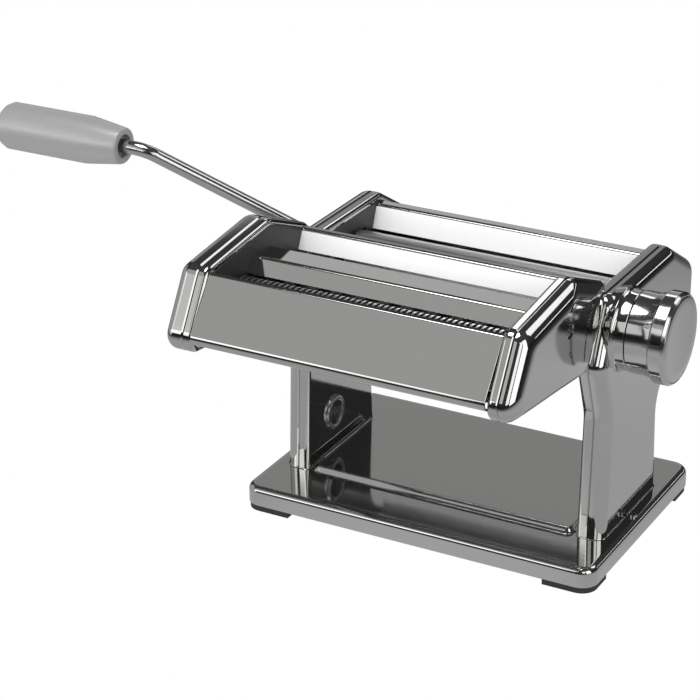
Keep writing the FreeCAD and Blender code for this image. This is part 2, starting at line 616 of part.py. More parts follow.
def make_cutter(label, pitch, land, count, driving, y, z):
    """Grooved cutter; the driven one has a groove more, so that its lands run in its partner's grooves."""
    grooves = count if driving else f"({count} + 1)"
    half = f"({grooves} * {pitch} / 2 + {land} / 2)"
    hub = "cutter_hub" if driving else "cutter_journal"
    left = "hub_end" if driving else "(gear_outer + 0.4)"
    outline = [(f"-{left}", hub), (f"-{half}", hub), (f"-{half}", "cutter_radius"), (half, "cutter_radius"),
               (half, "cutter_journal"), ("journal_end", "cutter_journal"), ("journal_end", "0")]
    if driving:
        outline += [("-hub_end + socket_depth", "0"), ("-hub_end + socket_depth", "socket_radius"),
                    ("-hub_end", "socket_radius")]
    else:
        outline.append((f"-{left}", "0"))
    body = turned(label, outline, y, z)
    groove = new_sketch(body, f"{label}_groove", "XY_Plane")
    first, width = f"-({grooves} - 1) * {pitch} / 2", f"({pitch} - {land}) / 2"
    add_outline(groove, [(f"{first} - {width}", "cutter_core"), (f"{first} + {width}", "cutter_core"),
                         (f"{first} + {width}", "cutter_radius + 1"),
                         (f"{first} - {width}", "cutter_radius + 1")])
    cut = add_turn(body, groove, "PartDesign::Groove")
    row = add_pattern(body, "PartDesign::LinearPattern", cut, (groove, ["H_Axis"]), grooves)
    drive(row, "Length", f"({grooves} - 1) * {pitch}")
    doc.recompute()


def make_gear(label, bore, root, tip, foot, end, teeth, y, z, phase):
    """Spur gear on the crank side, turned by phase of a tooth pitch to mesh with its partner."""
    body = new_body(label, y, z)
    disc = new_sketch(body, f"{label}_disc", "YZ_Plane", "-gear_inner")
    add_circle(disc, "0", "0", root)
    add_circle(disc, "0", "0", bore)
    add_pad(body, disc, "gear_outer - gear_inner", back=True)
    tooth = new_sketch(body, f"{label}_tooth", "YZ_Plane", "-gear_inner")
    add_outline(tooth, [(f"-{foot} / 2", f"{root} - 0.6"), (f"{foot} / 2", f"{root} - 0.6"),
                        (f"{end} / 2", tip), (f"-{end} / 2", tip)])
    tooth_pad = add_pad(body, tooth, "gear_outer - gear_inner", back=True)
    add_pattern(body, "PartDesign::PolarPattern", tooth_pad, (tooth, ["N_Axis"]), teeth)
    body.Placement = Placement(body.Placement.Base, Rotation(Vector(1, 0, 0), 1))
    drive(body, "Placement.Rotation.Angle", phase)
    doc.recompute()


def make_gears():
    big = ("gear_root", "gear_tip", "tooth_foot", "tooth_end", "gear_teeth")
    small = ("pinion_root", "pinion_tip", "pinion_foot", "pinion_end", "pinion_teeth")
    line = "atan((driven_z - drive_z) / (drive_y - driven_y))"
    make_gear("drive_gear", "drive_journal", *big, "drive_y", "drive_z", f"90 deg - {line}")
    make_gear("driven_gear", "driven_journal", *big, "driven_y", "driven_z",
              f"-90 deg - {line} + 180 deg / gear_teeth")
    for name, front, back, z, hub_front in (("narrow", "narrow_front", "narrow_back", "narrow_z", True),
                                            ("wide", "wide_front", "wide_back", "wide_z", False)):
        kinds = ("drive", "driven") if hub_front else ("driven", "drive")
        for kind, y, phase in ((kinds[0], front, "-90"), (kinds[1], back, "90 + 180 / pinion_teeth")):
            bore = "cutter_hub" if kind == "drive" else "cutter_journal"
            make_gear(f"{name}_{kind}_gear", bore, *small, y, z, phase)


# Thickness setting

def make_cam(label, sign):
    """Snail cam: its radius grows evenly with the turn, so the block's travel follows the knob."""
    steps = 6
    sweep, rest = math.radians(size("cam_sweep")), math.radians(size("cam_rest"))

    def point(step):
        turn = sweep * step / steps
        radius = size("cam_small") + size("cam_rise") * step / steps
        return Vector(sign * size("cam_inner"), radius * math.cos(rest - turn),
                      radius * math.sin(rest - turn))
    edges = [Part.Arc(point(step), point(step + 1), point(step + 2)).toShape()
             for step in range(0, steps, 2)]
    edges.append(Part.LineSegment(point(steps), point(0)).toShape())
    disc = Part.Face(Part.Wire(edges)).extrude(Vector(sign * (size("cam_outer") - size("cam_inner")), 0, 0))
    reach = 2 * size("cam_outer")
    bore = Part.makeCylinder(size("dial_shaft"), reach, Vector(-reach / 2, 0, 0), Vector(1, 0, 0))
    bore.translate(Vector(sign * size("cam_inner"), 0, 0))
    cam = doc.addObject("Part::Feature", label)
    cam.Shape = disc.cut(bore)
    cam.Placement = Placement(Vector(0, size("dial_y"), size("dial_z")), Rotation())
    keep(cam, label)


def make_block(label, sign):
    """Bearing block: its neck slides in the web's slot, and its flange meets the cam."""
    body = new_body(label)
    prefix = "" if sign > 0 else "-"
    neck = new_sketch(body, f"{label}_neck", "YZ_Plane", f"{prefix}web_face")
    front, back = "driven_y - block_half_y", "driven_y + block_half_y"
    low, high = "driven_z - block_half_z", "driven_z + block_half_z"
    add_outline(neck, [(front, low), (back, low), (back, high), (front, high)])
    add_pad(body, neck, "cam_inner - web_face", back=sign < 0)
    flange = new_sketch(body, f"{label}_flange", "YZ_Plane", f"{prefix}cam_inner")
    rim = "0.1 * block_half_z"
    add_outline(flange, [("block_face", f"{low} - {rim}"), (f"{back} + {rim}", f"{low} - {rim}"),
                         (f"{back} + {rim}", f"{high} + {rim}"), ("block_face", f"{high} + {rim}")])
    add_pad(body, flange, "block_flange - cam_inner", back=sign < 0)
    bore = new_sketch(body, f"{label}_bore", "YZ_Plane", f"{prefix}cam_inner")
    add_circle(bore, "driven_y", "driven_z", "driven_journal + running")
    add_pocket(body, bore, "4 * (block_flange - web_face)", middle=True)


def make_dial():
    turned("dial_shaft", [("-cam_outer - 1", "0"), ("-cam_outer - 1", "dial_shaft"),
                          ("stop_face", "dial_shaft"),
                          ("stop_face", "0")], "dial_y", "dial_z")
    turned("knob_stop", [("stop_face", "0"), ("stop_face", "stop_radius"), ("stop_end - 0.4", "stop_radius"),
                         ("stop_end", "stop_radius - 0.4"), ("stop_end", "0")], "dial_y", "dial_z")
    make_spring()
    turned("thickness_knob",
           [("knob_back", "knob_pocket"), ("knob_back", "barrel_radius - 0.5"),
            ("knob_back + 0.5", "barrel_radius"),
            ("barrel_end", "barrel_radius"), ("flare_end", "flare_radius"),
            ("flare_end", "flare_radius - 0.8"),
            ("ring_start", "flare_radius - 0.8"),
            ("ring_start", "ring_radius - ring_bevel"), ("ring_start + ring_bevel", "ring_radius"),
            ("knob_end - ring_bevel", "ring_radius"), ("knob_end", "ring_radius - ring_bevel"),
            ("knob_end", "cap_radius + running"), ("cap_seat", "cap_radius + running"),
            ("cap_seat", "knob_pocket"),
            ("knob_web_end", "knob_pocket"), ("knob_web_end", "dial_shaft + running"),
            ("knob_web", "dial_shaft + running"), ("knob_web", "knob_pocket")], "dial_y", "dial_z")
    turned("knob_cap", [("cap_seat", "0"), ("cap_seat", "cap_radius"), ("cap_face - 0.6", "cap_radius"),
                        ("cap_face", "cap_radius - 1.2"), ("cap_face", "cap_radius - 5"),
                        ("cap_face - cap_dish", "cap_radius - 9"), ("cap_face - cap_dish", "0")],
           "dial_y", "dial_z")
    turned("index_pin", [("pin_end", "0"), ("pin_end", "pin_radius - 0.4"), ("pin_end + 0.4", "pin_radius"),
                         ("knob_back", "pin_radius"), ("knob_back", "0")], "dial_y - pin_circle", "dial_z")


def make_spring():
    """Compression spring that draws the knob back to its collar, as a sleeve of its shortest length."""
    inner, outer = "spring_radius - spring_wire / 2", "spring_radius + spring_wire / 2"
    turned("knob_spring", [("spring_start", inner), ("spring_start", outer), ("stop_face", outer),
                           ("stop_face", inner)], "dial_y", "dial_z")


# Crank

def make_crank():
    """Bent rod in the plane of its own X and Z, turned about the roller's axis to the crank's angle."""
    body = new_body("crank_rod", "drive_y", "drive_z")
    rise = size("crank_reach")
    run = size("rod_elbow") - size("rod_knee")
    slope = math.atan2(rise, run)
    cut = size("rod_bend") * math.tan(slope / 2)
    start, end = Vector(-size("rod_start"), 0, 0), Vector(-size("rod_end"), 0, rise)
    knee, elbow = Vector(-size("rod_knee"), 0, 0), Vector(-size("rod_elbow"), 0, rise)
    out, arm = Vector(-1, 0, 0), (elbow - knee).normalize()
    bends = []
    for corner, before, after in ((knee, out, arm), (elbow, arm, out)):
        first, last = corner - before * cut, corner + after * cut
        inward = (after - before).normalize()
        middle = corner + inward * (size("rod_bend") / math.cos(slope / 2) - size("rod_bend"))
        bends.append((first, middle, last))
    path = doc.addObject("Part::Feature", "rod_line")
    path.Shape = Part.Wire([Part.LineSegment(start, bends[0][0]).toShape(), Part.Arc(*bends[0]).toShape(),
                            Part.LineSegment(bends[0][2], bends[1][0]).toShape(),
                            Part.Arc(*bends[1]).toShape(),
                            Part.LineSegment(bends[1][2], end).toShape()])
    binder = body.newObject("PartDesign::SubShapeBinder", "rod_path")
    binder.Support = [(path, ("",))]
    binder.Relative = False
    section = new_sketch(body, "rod_section", "YZ_Plane", "-rod_start")
    add_circle(section, "0", "0", "rod_radius")
    doc.recompute()
    pipe = body.newObject("PartDesign::AdditivePipe", "rod")
    pipe.Profile = section
    pipe.Spine = (binder, [f"Edge{number}" for number in range(1, 6)])
    doc.recompute()
    body.Placement = Placement(body.Placement.Base, Rotation(Vector(1, 0, 0), 1))
    drive(body, "Placement.Rotation.Angle", "crank_angle")


def make_grip():
    bore = "socket_radius"
    turned("crank_grip",
           [("-grip_start", "grip_mouth"), ("-grip_start", "grip_small - 0.8"),
            ("-grip_start - 0.8", "grip_small"),
            ("-grip_start - grip_taper", "grip_radius"), ("-grip_end + grip_nose", "grip_radius"),
            ("-grip_end", "grip_radius - 0.8 * grip_nose"), ("-grip_end", "0"), ("-rod_end - 1", "0"),
            ("-rod_end - 1", bore), ("-grip_start - grip_mouth_depth", bore),
            ("-grip_start - grip_mouth_depth", "grip_mouth")],
           "drive_y - crank_reach * sin(crank_angle)", "drive_z + crank_reach * cos(crank_angle)")


make_base()
make_base_fittings()
make_frame_plate("left_frame_plate", -1)
make_frame_plate("right_frame_plate", 1)
make_side_cover("left_side_cover", -1)
make_side_cover("right_side_cover", 1)
make_clamp_socket()
make_rear_panel()
make_scraper("front_scraper", "driven_y", "driven_z")
make_scraper("rear_scraper", "drive_y", "drive_z")
make_cutter_frame("left_cutter_frame", -1)
make_cutter_frame("right_cutter_frame", 1)
make_cutter_cover("left_cutter_cover", -1)
make_cutter_cover("right_cutter_cover", 1)
make_cutter_sheets()
make_cutter_fittings()
make_ties()
grouped("roller_bushes", [make_bush(f"roller_bush_{side}", sign, "drive_y", "drive_z", "drive_journal")
                          for side, sign in (("left", -1), ("right", 1))])
grouped("dial_bushes",
        [make_bush(f"dial_bush_{side}", sign, "dial_y", "dial_z", "dial_shaft", "cam_inner - slot_gap")
                        for side, sign in (("left", -1), ("right", 1))])
grouped("cutter_bushes",
        [make_bush(f"cutter_bush_{side}_{y}", sign, y, z,
                   "cutter_hub" if sign < 0 and driving else "cutter_journal")
         for side, sign in (("left", -1), ("right", 1))
         for places, driving in ((DRIVE_CUTTERS, True), (DRIVEN_CUTTERS, False)) for y, z in places])
make_rollers()
make_cutter("narrow_drive_cutter", "narrow_pitch", "narrow_land", "narrow_count", True, "narrow_front",
            "narrow_z")
make_cutter("narrow_driven_cutter", "narrow_pitch", "narrow_land", "narrow_count", False, "narrow_back",
            "narrow_z")
make_cutter("wide_drive_cutter", "wide_pitch", "wide_land", "wide_count", True, "wide_back", "wide_z")
make_cutter("wide_driven_cutter", "wide_pitch", "wide_land", "wide_count", False, "wide_front", "wide_z")
make_gears()
make_block("left_roller_block", -1)
make_block("right_roller_block", 1)
make_cam("left_cam", -1)
make_cam("right_cam", 1)
make_dial()
make_crank()
make_grip()
doc.recompute()

failed = [item.Name for item in doc.Objects if {"Invalid", "Error"} & set(item.State)]
failed += [item.Label for item in subparts if item.Shape.isNull() or not item.Shape.isValid()]
if failed:
    raise RuntimeError(f"not built: {', '.join(failed)}")

os.makedirs("parts", exist_ok=True)
for item in subparts:
    item.Shape.exportStep(os.path.join("parts", f"{item.Label}.step"))
    print(f"{item.Label}: {len(item.Shape.Solids)} solid(s), {item.Shape.Volume / 1000:.2f} cm3")
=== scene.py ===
import json
import math

import bmesh
import bpy
from mathutils import Matrix, Vector


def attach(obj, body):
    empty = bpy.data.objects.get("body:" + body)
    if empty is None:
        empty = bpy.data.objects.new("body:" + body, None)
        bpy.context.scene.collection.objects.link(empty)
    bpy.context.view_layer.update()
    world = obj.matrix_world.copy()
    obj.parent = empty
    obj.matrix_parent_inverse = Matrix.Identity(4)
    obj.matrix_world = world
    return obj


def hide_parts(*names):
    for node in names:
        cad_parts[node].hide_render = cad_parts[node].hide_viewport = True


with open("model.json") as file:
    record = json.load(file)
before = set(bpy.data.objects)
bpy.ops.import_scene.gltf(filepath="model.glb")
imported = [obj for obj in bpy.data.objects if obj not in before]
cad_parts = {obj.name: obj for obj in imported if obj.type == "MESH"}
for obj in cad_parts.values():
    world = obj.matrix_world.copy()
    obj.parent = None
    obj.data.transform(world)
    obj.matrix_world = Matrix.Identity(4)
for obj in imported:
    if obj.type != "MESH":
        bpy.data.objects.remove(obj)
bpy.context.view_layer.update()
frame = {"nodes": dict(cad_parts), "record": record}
nodes = frame["nodes"]
MM = 0.001

# Camera of the photograph
CAMERA_AZIMUTH = math.radians(28.85)
CAMERA_ELEVATION = math.radians(24.5)
CAMERA_ROLL = math.radians(-0.42)
CAMERA_TARGET = Vector((-38.4, -59.06, 100.81)) * MM
CAMERA_DISTANCE = 1198.18 * MM
FOCAL_PIXELS = 2400.4
IMAGE_PIXELS = 700
SENSOR = 36


def add_camera():
    azimuth, elevation = CAMERA_AZIMUTH, CAMERA_ELEVATION
    back = Vector((math.sin(azimuth) * math.cos(elevation), -math.cos(azimuth) * math.cos(elevation),
                   math.sin(elevation)))
    right = Vector((math.cos(azimuth), math.sin(azimuth), 0))
    up = back.cross(right)
    across = right * math.cos(CAMERA_ROLL) + up * math.sin(CAMERA_ROLL)
    above = up * math.cos(CAMERA_ROLL) - right * math.sin(CAMERA_ROLL)
    data = bpy.data.cameras.new("camera")
    data.sensor_width = SENSOR
    data.lens = SENSOR * FOCAL_PIXELS / IMAGE_PIXELS
    data.clip_start, data.clip_end = 0.05, 20
    camera = bpy.data.objects.new("camera", data)
    turn = Matrix((across, above, back)).transposed()
    camera.matrix_world = Matrix.Translation(CAMERA_TARGET + back * CAMERA_DISTANCE) @ turn.to_4x4()
    bpy.context.scene.collection.objects.link(camera)
    bpy.context.scene.camera = camera


# Shader building

def link(tree, source, target):
    tree.links.new(source, target)


def add_node(tree, kind, place=(0, 0), **values):
    """New node whose inputs are set by name, with spaces written as underscores."""
    node = tree.nodes.new(kind)
    node.location = place
    for name, value in values.items():
        node.inputs[name.replace("_", " ")].default_value = value
    return node


def add_math(tree, operation, first, second):
    node = tree.nodes.new("ShaderNodeMath")
    node.operation = operation
    for socket, value in zip(node.inputs, (first, second)):
        if isinstance(value, (int, float)):
            socket.default_value = value
        else:
            link(tree, value, socket)
    return node.outputs[0]


def new_group(name, inputs, outputs):
    group = bpy.data.node_groups.new(name, "ShaderNodeTree")
    for direction, sockets in (("INPUT", inputs), ("OUTPUT", outputs)):
        for label, kind, value in sockets:
            socket = group.interface.new_socket(label, in_out=direction, socket_type=kind)
            if value is not None:
                socket.default_value = value
    return group, group.nodes.new("NodeGroupInput"), group.nodes.new("NodeGroupOutput")


FLOAT, COLOUR = "NodeSocketFloat", "NodeSocketColor"


def make_polish_group():
    """Hand-polished metal: cloudy wiping marks, fine scratches and a slight wave of the sheet."""
    group, source, sink = new_group(
        "polish",
        [("Tone", COLOUR, (0.6, 0.6, 0.6, 1)), ("Roughness", FLOAT, 0.1), ("Smudge", FLOAT, 0.03),
         ("Grain Across", FLOAT, 40.0), ("Grain Along", FLOAT, 900.0)],
        [("Color", COLOUR, None), ("Roughness", FLOAT, None), ("Height", FLOAT, None)])
    place = group.nodes.new("ShaderNodeTexCoord").outputs["Object"]
    cloud = add_node(group, "ShaderNodeTexNoise", Scale=22.0, Detail=3.0)
    link(group, place, cloud.inputs["Vector"])
    stretch = add_node(group, "ShaderNodeVectorMath")
    stretch.operation = "MULTIPLY"
    link(group, place, stretch.inputs[0])
    scales = add_node(group, "ShaderNodeCombineXYZ")
    link(group, source.outputs["Grain Across"], scales.inputs["X"])
    link(group, source.outputs["Grain Along"], scales.inputs["Y"])
    link(group, source.outputs["Grain Along"], scales.inputs["Z"])
    link(group, scales.outputs[0], stretch.inputs[1])
    grain = add_node(group, "ShaderNodeTexNoise", Scale=1.0, Detail=2.0)
    link(group, stretch.outputs[0], grain.inputs["Vector"])
    marks = add_math(group, "SUBTRACT", cloud.outputs["Fac"], 0.5)
    marks = add_math(group, "MULTIPLY", marks, source.outputs["Smudge"])
    fine = add_math(group, "SUBTRACT", grain.outputs["Fac"], 0.5)
    fine = add_math(group, "MULTIPLY", fine, source.outputs["Smudge"])
    rough = add_math(group, "ADD", source.outputs["Roughness"], add_math(group, "ADD", marks, fine))
    link(group, add_math(group, "MAXIMUM", rough, 0.02), sink.inputs["Roughness"])
    tone = add_node(group, "ShaderNodeMix")
    tone.data_type = "RGBA"
    tone.blend_type = "MULTIPLY"
    tone.inputs["Factor"].default_value = 1
    shade = add_node(group, "ShaderNodeMapRange", From_Min=0.3, From_Max=0.7, To_Min=0.99, To_Max=1.005)
    link(group, grain.outputs["Fac"], shade.inputs["Value"])
    link(group, source.outputs["Tone"], tone.inputs["A"])
    link(group, shade.outputs[0], tone.inputs["B"])
    link(group, tone.outputs["Result"], sink.inputs["Color"])
    wave = add_node(group, "ShaderNodeTexNoise", Scale=9.0, Detail=0.0)
    link(group, place, wave.inputs["Vector"])
    link(group, add_math(group, "ADD", wave.outputs["Fac"], add_math(group, "MULTIPLY", fine, 0.00015)),
         sink.inputs["Height"])
    return group


def make_mould_group():
    """Moulded plastic or rubber: fine pebble, patchy sheen and dust in the tone."""
    group, source, sink = new_group(
        "moulded",
        [("Tone", COLOUR, (0.1, 0.1, 0.1, 1)), ("Roughness", FLOAT, 0.5), ("Pebble", FLOAT, 1500.0),
         ("Patch", FLOAT, 0.12)],
        [("Color", COLOUR, None), ("Roughness", FLOAT, None), ("Height", FLOAT, None)])
    place = group.nodes.new("ShaderNodeTexCoord").outputs["Object"]
    pebble = add_node(group, "ShaderNodeTexNoise", Detail=2.0)
    link(group, place, pebble.inputs["Vector"])
    link(group, source.outputs["Pebble"], pebble.inputs["Scale"])
    patch = add_node(group, "ShaderNodeTexNoise", Scale=35.0, Detail=3.0)
    link(group, place, patch.inputs["Vector"])
    drift = add_math(group, "MULTIPLY", add_math(group, "SUBTRACT", patch.outputs["Fac"], 0.5),
                     source.outputs["Patch"])
    link(group, add_math(group, "ADD", source.outputs["Roughness"], drift), sink.inputs["Roughness"])
    tone = add_node(group, "ShaderNodeMix")
    tone.data_type = "RGBA"
    tone.blend_type = "MULTIPLY"
    tone.inputs["Factor"].default_value = 1
    shade = add_node(group, "ShaderNodeMapRange", From_Min=0.3, From_Max=0.7, To_Min=0.9, To_Max=1.06)
    link(group, pebble.outputs["Fac"], shade.inputs["Value"])
    link(group, source.outputs["Tone"], tone.inputs["A"])
    link(group, shade.outputs[0], tone.inputs["B"])
    link(group, tone.outputs["Result"], sink.inputs["Color"])
    link(group, pebble.outputs["Fac"], sink.inputs["Height"])
    return group


def make_material(name, group, metallic, bump, distance, **values):
    """Principled material fed by one of the surface groups."""
    material = bpy.data.materials.new(name)
    material.use_nodes = True
    tree = material.node_tree
    shader = next(node for node in tree.nodes if node.type == "BSDF_PRINCIPLED")
    shader.inputs["Metallic"].default_value = metallic
    surface = tree.nodes.new("ShaderNodeGroup")
    surface.node_tree = group
    surface.location = (-500, 0)
    for label, value in values.items():
        surface.inputs[label.replace("_", " ")].default_value = value
    link(tree, surface.outputs["Color"], shader.inputs["Base Color"])
    link(tree, surface.outputs["Roughness"], shader.inputs["Roughness"])
    height = add_node(tree, "ShaderNodeBump", (-250, -250), Strength=bump, Distance=distance)
    link(tree, surface.outputs["Height"], height.inputs["Height"])
    link(tree, height.outputs["Normal"], shader.inputs["Normal"])
    return material


def grey(value):
    return (value, value, value * 1.01, 1)


polish = make_polish_group()
moulded = make_mould_group()
CHROME_TINT = (0.545, 0.54, 0.53, 1)
# Finishes: name, surface group, metallic, strength and distance of the bump, and the group's inputs
MATERIALS = {
    "chromed_sheet": make_material("polished_sheet", polish, 1, 0.12, 0.0006, Tone=CHROME_TINT,
                                   Roughness=0.07),
    # painted reflection: the feed panels' front faces are dull white, standing in for the white light that
    # their chrome reflects
    "painted_reflection_white": make_material("feed_sheet_painted_reflection", polish, 0, 0.05, 0.0003, Tone=grey(0.97),
                                 Roughness=0.45),
    "steel": make_material("bright_steel", polish, 1, 0.05, 0.0003, Tone=grey(0.5), Roughness=0.14),
    "roller_aluminium": make_material("turned_aluminium", polish, 1, 0.1, 0.0004, Tone=grey(0.5),
                                      Roughness=0.3, Grain_Across=900.0, Grain_Along=30.0),
    "black_nylon": make_material("black_nylon", moulded, 0, 0.2, 0.0002, Tone=grey(0.02), Roughness=0.45),
    "scraper_nylon": make_material("scraper_nylon", moulded, 0, 0.2, 0.0002, Tone=grey(0.5), Roughness=0.5),
    "foot_rubber": make_material("foot_rubber", moulded, 0, 0.3, 0.0003, Tone=grey(0.025), Roughness=0.7),
    "knob_plastic": make_material("plated_knob", polish, 1, 0.05, 0.0003, Tone=grey(0.56), Roughness=0.12),
    "dial_ink": make_material("dial_ink", moulded, 0, 0.1, 0.0001, Tone=grey(0.1), Roughness=0.6),
    "grip_plastic": make_material("satin_grip", moulded, 0.35, 0.06, 0.0002, Tone=grey(0.36),
                                  Roughness=0.36, Pebble=2500.0),
}
SCRAPERS = ("front_scraper", "rear_scraper")


def dress_nodes():
    """Give every CAD node the finish of its slot in the record; the scrapers' nylon is paler."""
    for subpart in frame["record"]["subparts"]:
        item = nodes[subpart["node"]]
        item.data.materials.clear()
        finish = "scraper_nylon" if subpart["node"] in SCRAPERS else subpart["material_slot"]
        item.data.materials.append(MATERIALS[finish])


# Outlines, in (y, z) or (x, y) millimetres

def rounded(points, radii, steps=10):
    """Points of a clockwise outline with rounded corners, each with its outward normal."""
    places = []
    count = len(points)
    for number in range(count):
        before, corner, after = (Vector(points[(number + shift) % count]) for shift in (-1, 0, 1))
        into, out = (corner - before).normalized(), (after - corner).normalized()
        first, last = Vector((-into.y, into.x)), Vector((-out.y, out.x))
        radius = radii[number]
        if radius == 0:
            places.append((corner, (first + last) / (1 + first.dot(last))))
            continue
        turn = math.atan2(into.x * out.y - into.y * out.x, into.dot(out))
        start = corner - into * radius * math.tan(abs(turn) / 2)
        side = 1 if turn < 0 else -1
        centre = start - first * radius * side
        for step in range(steps + 1):
            angle = turn * step / steps
            normal = Vector((first.x * math.cos(angle) - first.y * math.sin(angle),
                             first.x * math.sin(angle) + first.y * math.cos(angle)))
            places.append((centre + normal * radius * side, normal))
    return places


def full_turn(steps):
    return [2 * math.pi * step / steps for step in range(steps)]


def circle(y, z, radius, steps=48):
    return [(y + radius * math.cos(turn), z + radius * math.sin(turn)) for turn in full_turn(steps)]


# Mesh building

SHARP_ANGLE = math.radians(32)
FLAT_WEIGHT = 90


def link_piece(name, mesh, body, material, node=None):
    """Put a finished mesh in the scene on its body, with its finish and the node that it stands for."""
    mesh.shade_smooth()
    mesh.set_sharp_from_angle(angle=SHARP_ANGLE)
    mesh.materials.append(material)
    piece = bpy.data.objects.new(name, mesh)
    bpy.context.scene.collection.objects.link(piece)
    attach(piece, body)
    if node:
        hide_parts(node)
    return piece


def close_mesh(name, build):
    """Mesh from a bmesh in millimetres, with its faces turned outwards."""
    bmesh.ops.recalc_face_normals(build, faces=build.faces)
    bmesh.ops.scale(build, vec=(MM, MM, MM), verts=build.verts)
    mesh = bpy.data.meshes.new(name)
    build.to_mesh(mesh)
    build.free()
    return mesh


def bridge(build, one, two):
    """Quads between two rings of the same length."""
    count = len(one)
    for step in range(count):
        after = (step + 1) % count
        build.faces.new((one[step], one[after], two[after], two[step]))


def fill(build, *rings):
    """Flat face inside the first ring, with the other rings as holes."""
    edges = []
    for ring in rings:
        for step in range(len(ring)):
            pair = (ring[step], ring[(step + 1) % len(ring)])
            edges.append(build.edges.get(pair) or build.edges.new(pair))
    bmesh.ops.triangle_fill(build, use_beauty=True, edges=edges)


def soften(piece, width):
    """Small bevel on a piece's sharp edges, with shading that keeps its flats flat."""
    bevel = piece.modifiers.new("edges", "BEVEL")
    bevel.width = width * MM
    bevel.segments = 2
    bevel.limit_method = "ANGLE"
    bevel.angle_limit = SHARP_ANGLE
    bevel.harden_normals = False
    flatten(piece)


def flatten(piece):
    """Shade by the larger faces, so that a flat stays flat up to its rounded edge."""
    normals = piece.modifiers.new("flats", "WEIGHTED_NORMAL")
    normals.keep_sharp = True
    normals.weight = FLAT_WEIGHT


# Pressed pans of the sides

SHEET = 1.5
SEAM_BEVEL = 0.75
LEAST_RIM = 0.6
RIM_STEPS = 14
FOOT_ROUND = 0.65


def pressed_pan(name, outline, side, mouth, face, rim, holes=(), floor=None, crown=None):
    """Double-skinned pan, from its mouth at the seam over a rounded rim to its flat face.

    A crowned pan runs from its outline to the crown's outline, both with the same number of points.
    """
    build = bmesh.new()
    outward = 1 if face > mouth else -1

    def skin(inset, depth, radius, bevel):
        """Rings from the mouth to the face: a skin set back from the outline by inset."""
        rings = [(inset, 0, mouth)]
        if bevel:
            rings = [(inset + bevel, 0, mouth), (inset, 0, mouth + outward * bevel)]
        top = face - outward * depth
        rise = abs(top - mouth) - bevel if crown else radius
        for step in range(1 if crown else 0, RIM_STEPS + 1):
            angle = math.pi / 2 * step / RIM_STEPS
            reach = 1 - math.cos(angle)
            x = top - outward * rise * (1 - math.sin(angle))
            rings.append((inset, reach, x) if crown else (inset + radius * reach, 0, x))
        placed = []
        for back, reach, x in rings:
            ring = []
            for number, (point, normal) in enumerate(outline):
                edge = point - normal * back
                if reach:
                    edge = edge.lerp(crown[number][0], reach)
                ring.append(build.verts.new((side * x, *edge)))
            placed.append(ring)
        return placed

    outer = skin(0, 0, rim, SEAM_BEVEL)
    inner = skin(SHEET, SHEET, max(rim - SHEET, LEAST_RIM), 0)
    for rings in (outer, inner):
        for one, two in zip(rings, rings[1:]):
            bridge(build, one, two)
    bridge(build, outer[0], inner[0])
    cuts = []
    for depth in (0, SHEET):
        x = side * (face - outward * depth)
        cuts.append([[build.verts.new((x, y, z)) for y, z in hole] for hole in holes])
    fill(build, outer[-1], *cuts[0])
    fill(build, inner[-1], *cuts[1])
    for near, far in zip(*cuts):
        bridge(build, near, far)
    if floor is not None:
        cut_foot(build, floor)
    return close_mesh(name, build)


def cut_foot(build, floor):
    """Cut a pan off at the floor, and close and round the cut."""
    every = list(build.verts) + list(build.edges) + list(build.faces)
    cut = bmesh.ops.bisect_plane(build, geom=every, plane_co=(0, 0, floor), plane_no=(0, 0, -1),
                                 clear_outer=True)
    rim_edges = [item for item in cut["geom_cut"] if isinstance(item, bmesh.types.BMEdge)]
    bmesh.ops.holes_fill(build, edges=rim_edges, sides=0)
    bmesh.ops.bevel(build, geom=rim_edges, offset=FOOT_ROUND, offset_type="OFFSET", segments=3,
                    profile=0.5, affect="EDGES")
    bmesh.ops.holes_fill(build, edges=[edge for edge in build.edges if edge.is_boundary], sides=0)


BELOW_FOOT = 9
FLOOR = 13.5
LEG = rounded([(-36.4, FLOOR - BELOW_FOOT), (-33, 80), (-43.3, 109), (-28.5, 142.5), (47, 142.5), (78, 124),
               (78, 93), (35, 66), (38.5, FLOOR - BELOW_FOOT)], [0, 18, 9, 9, 10, 10, 10, 18, 0])
CUTTER = rounded([(-149.5, 124.3), (-127, 162), (-69, 168), (-26, 150), (-44.3, 112)], [8, 8, 14, 8, 8])
# Flat part of the right cutter cover, which rolls away towards the knob
RIGHT_CROWN = rounded([(-136, 130), (-121, 153.5), (-86, 157.2), (-76, 152.5), (-84, 125.5)],
                      [5, 6, 4, 4, 5])
# Distances from the middle of the machine, along X
WEB, SEAM, CUTTER_SEAM, SIDE, LEFT_CUTTER_SIDE = 77, 83, 82.5, 91, 93
PLATE_RIM, COVER_RIM, CUTTER_RIM = 2.5, 7.2, 5.5
DRIVE, DRIVEN, DIAL, CLAMP = (50, 105.5), (15.63, 114.5), (-15, 122), (-7, 35.5)
NARROW = [(-121, 138.5), (-102.5, 138.5)]
WIDE = [(-57.5, 134), (-76, 134)]
GUIDE_ROD = (-84, 148)
SLOT = [(0.83, 102.3), (28.03, 102.3), (28.03, 126.7), (0.83, 126.7)]
# Radii of the holes, in the plates and then in the covers
DRIVE_BUSH, BUSH, CUTTER_SOCKET, CLAMP_BORE = 8.5, 6.5, 7.7, 7.6
DRIVE_PORT, DIAL_PORT, CUTTER_PORT, SCREW_RECESS = 7, 4.5, 6.2, 4


